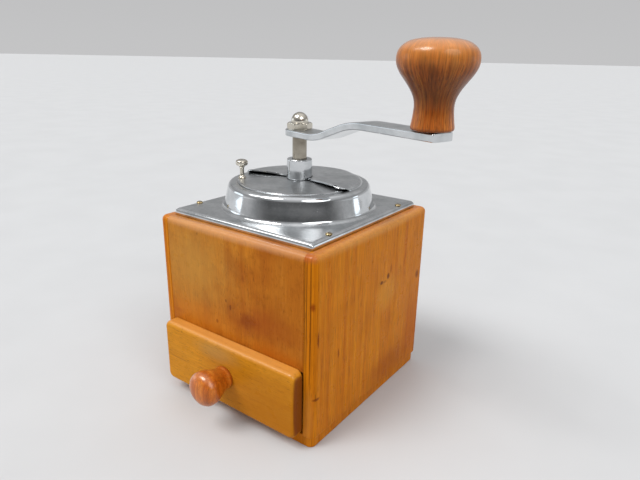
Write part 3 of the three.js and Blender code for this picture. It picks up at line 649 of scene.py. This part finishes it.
def side_board(name, side):
    """An outer board with two rounded outer corners, its inner edges rebated for the end boards."""
    joint, end = front_high.x, front_high.y
    back = node_box("back_board")[1].y
    rings = []
    for inset, height in levels(side_low.z, side_high.z, FOOT_ROUNDING, TOP_ROUNDING):
        plan = [(joint, FRONT + inset + GROOVE), (joint + GROOVE, FRONT + inset)]
        plan += corner_arc(SIDE - CORNER, FRONT + CORNER, CORNER - inset, 270)
        plan += corner_arc(SIDE - CORNER, back - CORNER, CORNER - inset, 0)
        plan += [(joint + GROOVE, back - inset), (joint, back - inset - GROOVE)]
        plan += [(joint, -end), (side_low.x, -end), (side_low.x, end), (joint, end)]
        rings.append([(side * x, y, height) for x, y in plan])
    piece(f"{name}_finished", stack(rings), "case", "side_wood", [name])


def end_board(name):
    """The front or back board, with a fine groove along its joints."""
    low, high = node_box(name)
    outward = -1 if low.y < 0 else 1
    outer, inner = (low.y, high.y) if outward < 0 else (high.y, low.y)
    rings = []
    for inset, height in levels(low.z, high.z, FOOT_ROUNDING, TOP_ROUNDING):
        face = outer - outward * inset
        groove = outward * GROOVE
        plan = [(low.x, inner), (low.x, face - groove), (low.x + GROOVE, face), (high.x - GROOVE, face),
                (high.x, face - groove), (high.x, inner)]
        rings.append([(x, y, height) for x, y in plan])
    piece(f"{name}_finished", stack(rings), "case", "front_wood", [name])


def base_board():
    low, high = node_box("base_board")
    rings = []
    for inset, height in levels(low.z, high.z, 0.8, 0.4, 4):
        rings.append([(x, y, height) for x, y in rounded_outline(low, high, BASE_CORNER, inset)])
    made = piece("base_board_finished", stack(rings), "case", "side_wood", ["base_board"])
    for label in ("front_left", "front_right", "back_left", "back_right"):
        screw_low, screw_high = node_box(f"base_screw_{label}")
        middle = (screw_low + screw_high) / 2
        hole = lathe(SCREW_HOLE, 32)
        bmesh.ops.translate(hole, vec=(middle.x, middle.y, 0), verts=hole.verts)
        carved(made, hole)


side_board("right_side_board", 1)
side_board("left_side_board", -1)
end_board("front_board")
end_board("back_board")
base_board()


# ---------------------------------------------------------------- drawer


def drawer_front():
    """A flat board with rounded corners, its front edges rounded over."""
    low, high = drawer_low, drawer_high
    rings = []
    for inset, depth in levels(-high.y, -low.y, 0.4, 2.5):
        outline = rounded_outline((low.x, low.z), (high.x, high.z), DRAWER_CORNER, inset)
        rings.append([(x, -depth, z) for x, z in outline])
    piece("drawer_front_finished", stack(rings), "drawer", "drawer_wood", ["drawer_front"])


def drawer_board(name):
    low, high = node_box(name)
    rings = []
    for inset, height in levels(low.z, high.z, 0.4, 0.6, 3):
        rings.append([(x, y, height) for x, y in rounded_outline(low, high, 0.5, inset)])
    piece(f"{name}_finished", stack(rings), "drawer", "plain_wood", [name])


def drawer_knob():
    low, high = node_box("drawer_knob")
    profile = smooth([
        (7.3, 0), (7.65, 1.2), (7.5, 3.5), (8, 6), (9.1, 9), (10.4, 12), (11, 15), (10.5, 18), (8.6, 20.3),
        (5, 21.8), (0, high.y - low.y),
    ])
    knob = lathe([(0, 0), *profile])
    turned = Matrix.Rotation(math.pi / 2, 3, "X")
    place = at(0, high.y, (low.z + high.z) / 2, turned)
    piece("drawer_knob_finished", knob, "drawer", "drawer_knob_wood", ["drawer_knob"], place=place)


drawer_front()
for part in ("left_side", "right_side", "back", "bottom"):
    drawer_board(f"drawer_{part}")
drawer_knob()


# ---------------------------------------------------------------- metal top

plate_low, plate_high = node_box("top_plate")
lid_low, lid_high = node_box("filler_lid")
PLATE_TOP = BODY_TOP + 4.25
DECK_EDGE = plate_high.z - 1
DECK_MIDDLE = plate_high.z
SHEET = 0.7
PLATE_CORNER = 1.5
PLATE_ROUNDING = 2.6
DOME_FOOT, DOME_TOP, DOME_FILLET, DOME_RIM = 49, 46.75, 3.25, 3
LIP = 0.8
MOUTH_INNER, MOUTH_OUTER, MOUTH_START, MOUTH_END = 12, 36.75, 199, 341
BUSH_HOLE, BUSH_BORE, BUSH_COLLAR = 6, 4.9, 143


def plate_edge(angle, inset):
    """Where a ray from the middle meets the plate's outline, which is drawn in by inset."""
    half_x = plate_high.x - inset - PLATE_CORNER
    half_y = plate_high.y - inset - PLATE_CORNER
    toward = Vector((math.cos(angle), math.sin(angle)))
    near, far = 0.0, 120.0
    for _ in range(40):
        middle = (near + far) / 2
        x, y = abs(toward.x) * middle - half_x, abs(toward.y) * middle - half_y
        outside = math.hypot(max(x, 0), max(y, 0)) + min(max(x, y), 0) > PLATE_CORNER
        near, far = (near, middle) if outside else (middle, far)
    return toward * near


def dome_profile():
    """(radius, height) pairs from the dome's foot over its wall and rim to the bush's hole."""
    foot_r, foot_z = DOME_FOOT + DOME_FILLET, PLATE_TOP + DOME_FILLET
    rim_r, rim_z = DOME_TOP - DOME_RIM, DECK_EDGE - DOME_RIM
    turns = quarter_turns(8)
    profile = [(foot_r - DOME_FILLET * math.sin(a), foot_z - DOME_FILLET * math.cos(a)) for a in turns]
    for i in (1, 2):
        profile.append(((DOME_FOOT * (3 - i) + DOME_TOP * i) / 3, (foot_z * (3 - i) + rim_z * i) / 3))
    profile += [(rim_r + DOME_RIM * math.cos(a), rim_z + (DOME_RIM + LIP) * math.sin(a)) for a in turns]
    profile += [(41.2, DECK_EDGE + LIP), (40.6, DECK_EDGE + LIP * 0.8), (40.2, DECK_EDGE + LIP * 0.25)]
    profile += [(40, DECK_EDGE), (MOUTH_OUTER, DECK_EDGE + 0.1)]
    for r in (30, 21):
        share = (MOUTH_OUTER - r) / (MOUTH_OUTER - MOUTH_INNER)
        profile.append((r, DECK_EDGE + 0.1 + 0.9 * share))
    return [*profile, (MOUTH_INNER, DECK_MIDDLE), (BUSH_HOLE, DECK_MIDDLE)]


def top_plate():
    """The plate's turned-down rim, its flat, and the dome with its filling mouth, as one pressed sheet."""
    corner = math.atan2(plate_high.y - 0.4, plate_high.x - 0.4)
    near_corners = [c + d for c in (corner, math.pi - corner, math.pi + corner, 2 * math.pi - corner)
                    for d in (-0.014, -0.009, -0.0045, 0, 0.0045, 0.009, 0.014)]
    even = [2 * math.pi * i / 216 for i in range(216)]
    kept = [a for a in even if min(abs(a - c) for c in near_corners) > 0.004]
    angles = sorted([*kept, *near_corners, math.radians(MOUTH_START + 0.01), math.radians(MOUTH_END + 0.01)])
    edge = PLATE_ROUNDING
    bm = bmesh.new()
    rings = []
    rim = [(0.3, plate_low.z), (0, plate_low.z + 0.5)]
    rim += [(edge * (1 - math.cos(a)), PLATE_TOP - edge * (1 - math.sin(a))) for a in quarter_turns(8)]
    for inset, height in rim:
        rings.append(ring_of(bm, [(*plate_edge(a, inset), height) for a in angles]))
    foot = DOME_FOOT + DOME_FILLET
    ends = [(plate_edge(a, edge), Vector((foot * math.cos(a), foot * math.sin(a)))) for a in angles]
    for share in (0.08, 0.25, 0.5, 0.75):
        rings.append(ring_of(bm, [(*outer.lerp(inner, share), PLATE_TOP) for outer, inner in ends]))
    for radius, height in dome_profile():
        rings.append(ring_of(bm, [(radius * math.cos(a), radius * math.sin(a), height) for a in angles]))
    for low, high in zip(rings, rings[1:]):
        bridge(bm, low, high)
    mouth = []
    for face in bm.faces:
        middle = face.calc_center_median()
        turn = math.degrees(math.atan2(middle.y, middle.x)) % 360
        inside = MOUTH_INNER < middle.xy.length < MOUTH_OUTER and MOUTH_START < turn < MOUTH_END
        if inside and middle.z > DECK_EDGE:
            mouth.append(face)
    bmesh.ops.delete(bm, geom=mouth, context="FACES")
    made = piece("top_plate_finished", tidied(bm), "case", "chrome", ["top_plate"], sharp=60)
    thicken(made, SHEET)


def thicken(made, thickness, edge=0.0):
    """Gives an open sheet its thickness, below its outer face, with an optional soft edge."""
    made.modifiers.remove(made.modifiers["level_faces"])
    solid = made.modifiers.new("sheet", "SOLIDIFY")
    solid.thickness = thickness * MM
    solid.offset = -1
    solid.use_even_offset = True
    if edge:
        bevel = made.modifiers.new("edge", "BEVEL")
        bevel.width = edge * MM
        bevel.segments = 3
        bevel.limit_method = "ANGLE"
        bevel.angle_limit = math.radians(50)
        bevel.use_clamp_overlap = True
    normals = made.modifiers.new("level_faces", "WEIGHTED_NORMAL")
    normals.keep_sharp = True


def upward(bm):
    """Turns an open sheet's faces so that the outer face looks up or out."""
    if sum(face.normal.z * face.calc_area() for face in bm.faces) < 0:
        bmesh.ops.reverse_faces(bm, faces=bm.faces)
    return bm


def polar_sheet(radii, angles, height, keep):
    """An open sheet over a polar grid. Angles are in degrees, and height and keep are functions of both."""
    bm = bmesh.new()
    full = angles[-1] - angles[0] > 359.9
    grid = []
    for radius in radii:
        row = []
        for turn in angles[:-1] if full else angles:
            a = math.radians(turn)
            reach, z = height(radius, turn)
            row.append(bm.verts.new((reach * math.cos(a), reach * math.sin(a), z)))
        grid.append(row)
    columns = len(grid[0])
    for i in range(len(radii) - 1):
        for j in range(columns if full else columns - 1):
            k = (j + 1) % columns
            if keep((radii[i] + radii[i + 1]) / 2, (angles[j] + angles[j + 1]) / 2):
                bm.faces.new((grid[i][j], grid[i + 1][j], grid[i + 1][k], grid[i][k]))
    loose = [v for v in bm.verts if not v.link_faces]
    bmesh.ops.delete(bm, geom=loose, context="VERTS")
    bmesh.ops.recalc_face_normals(bm, faces=bm.faces)
    return upward(bm)


LID_START, LID_END, LID_RADIUS, LID_FLAT, LID_CURL = 188, 349.5, 39.75, 12, 38.6


def filler_lid():
    """A flat ring round the bush with a wide leaf over the filling mouth."""
    low, high = lid_low.z + 1, lid_high.z

    def height(radius, turn):
        slope = max(radius - LID_FLAT, 0) / (LID_RADIUS - LID_FLAT)
        curl = 0.25 * max(0, (radius - LID_CURL) / (LID_RADIUS - LID_CURL)) ** 2
        return radius, high - (high - low) * slope - curl

    def keep(radius, turn):
        return radius < LID_FLAT or LID_START < turn % 360 < LID_END

    steps = [LID_START + (LID_END - LID_START) * i / 72 for i in range(73)]
    rest = [LID_END + (360 + LID_START - LID_END) * i / 60 for i in range(1, 61)]
    radii = [6.75, 8, 10, LID_FLAT, 16, 20, 24, 28, 32, 35, 37.5, LID_CURL, 39.2, LID_RADIUS]
    sheet = polar_sheet(radii, [*steps, *rest], height, keep)
    made = piece("filler_lid_finished", sheet, "lid", "chrome", ["filler_lid"])
    thicken(made, 0.9, 0.22)


HOOD_START, HOOD_END, HOOD_RADIUS, HOOD_BORE = -14, 191, 41.5, 8.75
HOOD_FLAT, HOOD_SLOPE, HOOD_DROP = 12, 26, 0.25
HOOD_LIFTED_FOOT = 142.95
HOOD_FINE_STEP, HOOD_FINE_SPAN = 0.8, 12.8
HOOD_INNER_RINGS = [HOOD_BORE, 10, HOOD_FLAT, 16, 20, 24, 28, 31]
HOOD_ARC_STEPS = 10


def soft(value, low, high):
    """0 up to low and 1 from high on, with a smooth step between."""
    t = min(max((value - low) / (high - low), 0), 1)
    return t * t * (3 - 2 * t)


def rounded_end(share):
    """How far a rounded corner draws an edge in, from 1 at its end to 0 where share reaches 1."""
    return 1 - math.sqrt(max(0, 1 - (1 - share) ** 2))


def filler_hood():
    """The raised fixed half over the lid's path. Its edge rounds down to the deck, steeper at the back."""
    top = node_box("filler_hood")[1].z
    deck = DECK_EDGE + LIP
    inner_count = len(HOOD_INNER_RINGS)

    def height(index, turn):
        width = 3.5 + 4 * (1 - soft(turn, 58, 76))
        first_end = min(1, (turn - HOOD_START) / 12)
        last_end = min(1, (HOOD_END - turn) / 6)
        reach = HOOD_RADIUS - 6 * rounded_end(first_end) - 1.5 * rounded_end(last_end)
        foot = deck + (HOOD_LIFTED_FOOT - deck) * (1 - soft(first_end, 0.35, 1))
        foot += 1.7 * (1 - soft(last_end, 0.1, 1))
        lift = 0.8 * (1 - soft(last_end, 0, 1)) + 0.5 * (1 - soft(first_end, 0, 0.7))
        shoulder = reach - width
        if index < inner_count:
            radius = min(HOOD_INNER_RINGS[index], shoulder * (0.9 + 0.01 * index))
            fall = HOOD_DROP * max(0, radius - HOOD_FLAT) / HOOD_SLOPE
            return radius, top - fall + lift * soft(radius, 10, 24)
        a = QUARTER * (index - inner_count) / HOOD_ARC_STEPS
        level = top - HOOD_DROP * (shoulder - HOOD_FLAT) / HOOD_SLOPE + lift
        return shoulder + width * math.sin(a), foot + (level - foot) * math.cos(a)

    def keep(index, turn):
        """False in the small notch in the shoulder's first end."""
        return turn > HOOD_START + 3 * HOOD_FINE_STEP or not inner_count + 2 < index < inner_count + 5

    fine_end = HOOD_START + HOOD_FINE_SPAN
    angles = [HOOD_START + HOOD_FINE_STEP * i for i in range(16)]
    angles += [fine_end + (HOOD_END - fine_end) * i / 100 for i in range(1, 101)]
    sheet = polar_sheet(list(range(inner_count + HOOD_ARC_STEPS + 1)), angles, height, keep)
    made = piece("filler_hood_finished", sheet, "case", "chrome", ["filler_hood"])
    thicken(made, 0.8, 0.18)


def lid_knob():
    low, high = node_box("lid_knob")
    middle = (low + high) / 2
    foot = lid_low.z + 1
    profile = [
        (2.6, 0.02), (2.62, 0.5), (2.3, 1.2), (1.55, 2.3), (1.35, 4.5), (1.45, 7), (2.2, 8.3), (3.6, 9.1),
        (4, 10.2), (3.75, 11.6), (2.4, 12.5), (0, high.z - foot),
    ]
    knob = lathe([(0, 0), *smooth(profile)], 48)
    piece("lid_knob_finished", knob, "lid", "nickel", ["lid_knob"], place=at(middle.x, middle.y, foot))


def spindle_bush():
    low, high = node_box("spindle_bush")
    profile = filleted([
        (BUSH_BORE, low.z, 0.2), (5.75, low.z, 0.2), (5.75, DECK_MIDDLE), (6.5, DECK_MIDDLE),
        (6.5, BUSH_COLLAR), (high.x, BUSH_COLLAR, 0.5), (high.x, high.z, 0.9), (BUSH_BORE, high.z, 0.3),
    ])
    piece("spindle_bush_finished", lathe(profile, 72), "case", "chrome", ["spindle_bush"])


def slot_block(length, width, bottom, tall=4):
    """A block that cuts a screw's slot down to bottom."""
    block = bmesh.new()
    bmesh.ops.create_cube(block, size=1)
    bmesh.ops.scale(block, vec=(length, width, tall), verts=block.verts)
    bmesh.ops.translate(block, vec=(0, 0, bottom + tall / 2), verts=block.verts)
    return block


def plate_screw(label, turn):
    """A pointed nail screw with a domed, slotted head."""
    name = f"top_plate_screw_{label}"
    low, high = node_box(name)
    middle = (low + high) / 2
    radius, rise = (high.x - low.x) / 2, high.z - PLATE_TOP
    length = PLATE_TOP - low.z
    shank, edge = 1.2, 0.15
    profile = [(0, -length), (0.5, 1 - length), (shank, 2.5 - length), (shank, 0), (radius - edge, 0)]
    profile += [(radius * math.cos(a), edge + (rise - edge) * math.sin(a)) for a in quarter_turns(8)[:-1]]
    place = at(middle.x, middle.y, PLATE_TOP, Matrix.Rotation(math.radians(turn), 3, "Z"))
    head = lathe([*profile, (0, rise)], 40)
    screw = piece(f"{name}_finished", head, "case", "nickel", [name], BRASS, place)
    carved(screw, slot_block(6, 0.5, rise * 0.5))


top_plate()
filler_lid()
filler_hood()
lid_knob()
spindle_bush()
for label, turn in (("front_left", 25), ("front_right", 70), ("back_left", 110), ("back_right", 5)):
    plate_screw(label, turn)


# ---------------------------------------------------------------- crank

knob_joint = next(j for j in frame["joints"] if j["name"] == "hand_knob_spin")
knob_place = Vector(knob_joint["pos_m"]) / MM
REACH = knob_place.xy.length
CRANK_TURN = Matrix.Rotation(math.atan2(knob_place.y, knob_place.x), 3, "Z")
arm_low, arm_high = node_box("crank_arm")
ARM_THICKNESS, ARM_EDGE = 4, 0.7
HUB_RADIUS, END_HALF_WIDTH, OVERHANG = 9.25, 7.25, 7.5
ARM_END = REACH + OVERHANG
END_CORNER = 4
FIRST_BEND, SECOND_BEND = 26.5, 58.5
SPINDLE_HOLE, PIN_HOLE = 4.75, 3.2


def arm_line(steps=10):
    """The middle line of the bent strip, as (along, height) pairs, from the hub to the outer end."""
    low = arm_low.z + ARM_THICKNESS / 2
    high = arm_high.z - ARM_THICKNESS / 2
    slope = (high - low) / (SECOND_BEND - FIRST_BEND)
    bends = [
        ((FIRST_BEND - 8, low), (FIRST_BEND, low), (FIRST_BEND + 7, low + 7 * slope)),
        ((SECOND_BEND - 9, high - 9 * slope), (SECOND_BEND, high), (SECOND_BEND + 10, high)),
    ]
    line = []
    for start, middle, end in bends:
        for i in range(steps + 1):
            t = i / steps
            line.append(tuple(a * (1 - t) ** 2 + b * 2 * t * (1 - t) + c * t ** 2
                              for a, b, c in zip(start, middle, end)))
    hub = [(-HUB_RADIUS * math.cos(a), low) for a in quarter_turns(12)]
    tail = [(ARM_END - END_CORNER + END_CORNER * math.sin(a), high) for a in quarter_turns(8)]
    return [*hub, (9, low), *line, (80, high), (100, high), *tail]


def arm_half_width(x):
    """The strip's half width: round at the hub, a straight taper, and a blunt outer end."""
    if x < 0:
        return math.sqrt(max(HUB_RADIUS ** 2 - x ** 2, 0.02))
    width = HUB_RADIUS + (END_HALF_WIDTH - HUB_RADIUS) * x / ARM_END
    past = max(0, x - (ARM_END - END_CORNER)) / END_CORNER
    return width - 1.2 * (1 - math.sqrt(max(0, 1 - past ** 4)))


def crank_arm():
    """The strip's rounded section carried along its middle line."""
    line = arm_line()
    rings = []
    for i, (x, z) in enumerate(line):
        before, after = line[max(i - 1, 0)], line[min(i + 1, len(line) - 1)]
        along = Vector((after[0] - before[0], after[1] - before[1])).normalized()
        normal = Vector((-along.y, along.x))
        width = arm_half_width(x)
        edge = min(ARM_EDGE, width * 0.45)
        section = rounded_outline((-width, -ARM_THICKNESS / 2), (width, ARM_THICKNESS / 2), edge, 0)
        rings.append([(x + normal.x * v, u, z + normal.y * v) for u, v in section])
    made = piece("crank_arm_finished", stack(rings), "crank", "chrome", ["crank_arm"],
                 place=at(0, 0, 0, CRANK_TURN), sharp=50)
    for x, radius in ((0, SPINDLE_HOLE), (REACH, PIN_HOLE)):
        hole = lathe([(0, 160), (radius, 160), (radius, 200), (0, 200)], 48)
        bmesh.ops.translate(hole, vec=(x, 0, 0), verts=hole.verts)
        carved(made, hole)


def spindle():
    """The long stepped shaft, with a groove for the retaining ring under the bush."""
    low, high = node_box("spindle")
    ring_low, ring_high = 134.75, 135.75
    shoulder = arm_low.z - 0.05
    shaft, neck = 4.65, 3.25
    profile = filleted([
        (0, low.z), (1.75, low.z), (2.25, low.z + 0.5), (2.25, 67.25), (3, 67.25), (3, 78), (neck, 78),
        (neck, 125), (shaft, 125, 0.2), (shaft, ring_low), (4, ring_low), (4, ring_high), (shaft, ring_high),
        (shaft, shoulder, 0.2), (neck, shoulder), (neck, 174.5), (3.1, 174.5), (3.1, 180.4),
        (2.5, high.z), (0, high.z),
    ])
    piece("spindle_finished", lathe(profile[:-1], 64), "crank", "nickel", ["spindle"], WORN_NICKEL)


def cap_nut():
    """A chamfered hexagon under a dome."""
    low, high = node_box("cap_nut")
    half_across = 7.0
    tall = 4.25
    bore, depth = 3.3, 6
    dome_radius, dome_foot = 5.4, 5.25
    segments = 120
    chamfers = [
        (0, 7.3), (0.35, 7.75), (0.8, 8.1), (1.5, 8.3), (2.8, 8.3), (3.4, 8.1), (3.85, 7.7), (tall, 7.0),
    ]
    bm = bmesh.new()
    rings = [ring_of(bm, [(0, 0, low.z + depth)])]
    rings += [ring_of(bm, circle(bore, low.z + z, segments)) for z in (depth, 0)]
    for z, limit in chamfers:
        ring = []
        for i in range(segments):
            a = 2 * math.pi * i / segments
            folded = (a + math.pi / 6) % (math.pi / 3) - math.pi / 6
            radius = min(half_across / math.cos(folded), limit)
            ring.append((radius * math.cos(a), radius * math.sin(a), low.z + z))
        rings.append(ring_of(bm, ring))
    rise = high.z - low.z - dome_foot
    dome = [(5.75, tall + 0.02), (dome_radius, tall + 0.3)]
    dome += [(dome_radius * math.cos(a), dome_foot + rise * math.sin(a)) for a in quarter_turns(12)[:-1]]
    for radius, z in dome:
        rings.append(ring_of(bm, circle(radius, low.z + z, segments)))
    rings.append(ring_of(bm, [(0, 0, high.z)]))
    for a, b in zip(rings, rings[1:]):
        bridge(bm, a, b)
    turn = Matrix.Rotation(math.radians(12), 3, "Z")
    piece("cap_nut_finished", tidied(bm), "crank", "nickel", ["cap_nut"], place=at(0, 0, 0, turn), sharp=28)


def crank_knob():
    """A turned mushroom with a waisted neck, bored from below for its bushing."""
    low, high = node_box("crank_knob")
    bore, depth = 5.5, 27.5
    outside = smooth([
        (9.3, 0.02), (10.1, 0.5), (10.35, 1.7), (9.95, 4.5), (9.45, 8.5), (9.4, 12), (10.1, 15.3),
        (11.9, 18.8), (14.6, 22.6), (17.1, 26), (18.6, 29.2), (19, 31.9), (18.6, 34.8), (17.4, 37.1),
        (15, 39.1), (11.5, 40.5), (6, 41.35), (0, high.z - low.z),
    ])
    profile = [(0, depth), (bore, depth), (bore, 0), (9.2, 0), *outside]
    piece("crank_knob_finished", lathe(profile, 128), "hand_knob", "crank_knob_wood", ["crank_knob"],
          place=at(knob_place.x, knob_place.y, low.z))


def knob_pin():
    low, high = node_box("knob_pin")
    length = high.z - low.z
    head_foot = length - 2.75
    profile = [
        (0, -0.9), (1.8, -0.8), (3.4, -0.4), (4.1, -0.02), (3, 0), (3, head_foot), (4.75, head_foot),
        (4.75, length - 0.75), (3.75, length), (0, length),
    ]
    piece("knob_pin_finished", lathe(profile, 48), "crank", "steel", ["knob_pin"],
          place=at(knob_place.x, knob_place.y, low.z))


crank_arm()
spindle()
cap_nut()
crank_knob()
knob_pin()


# ---------------------------------------------------------------- carried-over nodes and floor

SLOT_OF = {part["node"]: part["material_slot"] for part in frame["record"]["subparts"]}
for name, node in frame["nodes"].items():
    for slot in node.material_slots:
        slot.material = MATERIAL[SLOT_OF[name]]


def floor(radius_m=40.0):
    """A plain pale disc under the mill."""
    s = Shader("pale_floor")
    tone = s.remap(s.noise(s.position(), 90), 0.3, 0.7)
    material = s.finish(s.mix(tone, colour("C6C7C8"), colour("C9CACB")), 0.7)
    bm = bmesh.new()
    bmesh.ops.create_circle(bm, cap_ends=True, segments=96, radius=radius_m)
    mesh = bpy.data.meshes.new("floor")
    bm.to_mesh(mesh)
    bm.free()
    mesh.materials.append(material)
    made = bpy.data.objects.new("floor", mesh)
    bpy.context.scene.collection.objects.link(made)


floor()
